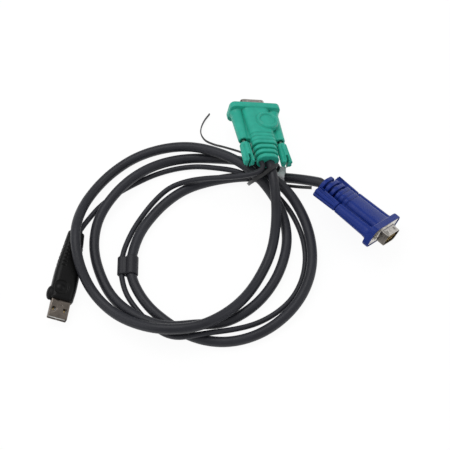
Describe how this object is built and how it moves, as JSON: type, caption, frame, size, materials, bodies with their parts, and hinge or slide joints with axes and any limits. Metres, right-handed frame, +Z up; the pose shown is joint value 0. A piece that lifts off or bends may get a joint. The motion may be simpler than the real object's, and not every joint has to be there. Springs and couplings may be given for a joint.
{
  "type": "switch cable",
  "caption": "Coiled switch cable: a thick video cord between D-shaped video plugs with thumbscrews, and a thin USB cord joined to it by a sleeve and held by a twist tie.",
  "frame": {"origin": "on the surface the cable lies on, under the centre of the box round its three plugs", "axes": "+Z up from that surface; +X from the USB plug towards the blue plug; +Y from the front of the coil towards the green plug"},
  "size_m": [0.2184, 0.1739, 0.0285],
  "materials": {
    "green_plastic": "satin moulded",
    "blue_plastic": "satin moulded",
    "black_plastic": "satin moulded",
    "cord_jacket": "satin",
    "nickel": "bright plated",
    "gold": "plated",
    "black_insert": "matte",
    "pale_insert": "matte",
    "tie_plastic": "satin",
    "white_label": "matte"
  },
  "bodies": {
    "cable": {"green_hood": "green_plastic", "green_shell": "nickel", "green_insert": "black_insert", "green_pin_01": "gold", "green_pin_02": "gold", "green_pin_03": "gold", "green_pin_04": "gold", "green_pin_05": "gold", "green_pin_06": "gold", "green_pin_07": "gold", "green_pin_08": "gold", "green_pin_09": "gold", "green_pin_10": "gold", "green_pin_11": "gold", "green_pin_12": "gold", "green_pin_13": "gold", "green_pin_14": "gold", "green_pin_15": "gold", "blue_hood": "blue_plastic", "blue_shell": "nickel", "blue_insert": "black_insert", "blue_pin_01": "gold", "blue_pin_02": "gold", "blue_pin_03": "gold", "blue_pin_04": "gold", "blue_pin_05": "gold", "blue_pin_06": "gold", "blue_pin_07": "gold", "blue_pin_08": "gold", "blue_pin_09": "gold", "blue_pin_10": "gold", "blue_pin_11": "gold", "blue_pin_12": "gold", "blue_pin_13": "gold", "blue_pin_14": "gold", "blue_pin_15": "gold", "usb_hood": "black_plastic", "usb_shell": "nickel", "usb_tongue": "pale_insert", "video_cord": "cord_jacket", "usb_cord": "cord_jacket", "joining_sleeve": "black_plastic", "twist_tie": "tie_plastic", "blank_label": "white_label", "usb_contact_1": "gold", "usb_contact_2": "gold", "usb_contact_3": "gold", "usb_contact_4": "gold"},
    "green_thumbscrew_a": {"green_knob_a": "green_plastic", "green_screw_a": "nickel"},
    "green_thumbscrew_b": {"green_knob_b": "green_plastic", "green_screw_b": "nickel"},
    "blue_thumbscrew_a": {"blue_knob_a": "blue_plastic", "blue_screw_a": "nickel"},
    "blue_thumbscrew_b": {"blue_knob_b": "blue_plastic", "blue_screw_b": "nickel"}
  },
  "joints": [
    {"name": "green_thumbscrew_a_turn", "type": "hinge", "parent": "cable", "child": "green_thumbscrew_a", "pos_m": [0.01196, 0.03762, 0.02122], "axis": [-0.1853, 0.9585, -0.2168], "continuous": true},
    {"name": "green_thumbscrew_b_turn", "type": "hinge", "parent": "cable", "child": "green_thumbscrew_b", "pos_m": [0.03585, 0.04073, 0.01452], "axis": [-0.1853, 0.9585, -0.2168], "continuous": true},
    {"name": "blue_thumbscrew_a_turn", "type": "hinge", "parent": "cable", "child": "blue_thumbscrew_a", "pos_m": [0.08278, 0.00628, 0.00851], "axis": [0.7279, -0.6845, -0.041], "continuous": true},
    {"name": "blue_thumbscrew_b_turn", "type": "hinge", "parent": "cable", "child": "blue_thumbscrew_b", "pos_m": [0.0689, -0.00931, 0.02228], "axis": [0.7279, -0.6845, -0.041], "continuous": true}
  ]
}
